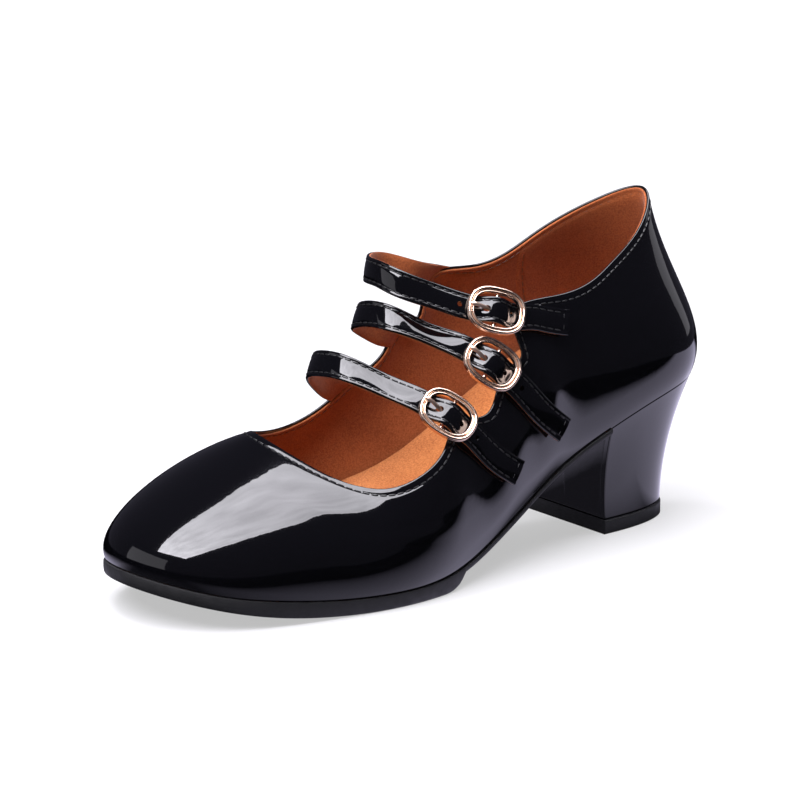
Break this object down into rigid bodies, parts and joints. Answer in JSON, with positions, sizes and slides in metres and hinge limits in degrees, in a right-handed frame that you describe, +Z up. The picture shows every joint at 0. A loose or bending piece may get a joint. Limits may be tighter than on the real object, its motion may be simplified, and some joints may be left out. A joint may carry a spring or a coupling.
{
  "type": "ballroom dance shoe",
  "caption": "Left ballroom dance shoe: black patent upper with cut-out sides, buckled instep straps, tan lining, covered block heel and thin sole with a rubber forefoot",
  "frame": {"origin": "middle of the shoe's bounding box, on the floor it stands on", "axes": "+X from heel to toe, +Y to the outer (lateral) side of the left foot, +Z up"},
  "size_m": [0.2364, 0.0864, 0.1161],
  "materials": {
    "sole_rubber": "matte black rubber",
    "lift_rubber": "matte black rubber",
    "heel_patent": "glossy black patent covering",
    "upper_patent": "glossy black patent, tan lining",
    "insole_suede": "tan suede",
    "strap_patent": "glossy black patent, tan underside",
    "buckle_metal": "polished rose gold plating",
    "elastic": "black ribbed elastic"
  },
  "bodies": {
    "root": {"outsole": "sole_rubber", "heel_lift": "lift_rubber", "heel": "heel_patent", "upper": "upper_patent", "insole": "insole_suede", "strap_top": "strap_patent", "buckle_frame_top": "buckle_metal", "buckle_prong_top": "buckle_metal", "buckle_elastic_top": "elastic", "strap_middle": "strap_patent", "buckle_frame_middle": "buckle_metal", "buckle_prong_middle": "buckle_metal", "buckle_elastic_middle": "elastic", "strap_front": "strap_patent", "buckle_frame_front": "buckle_metal", "buckle_prong_front": "buckle_metal", "buckle_elastic_front": "elastic"}
  },
  "joints": []
}
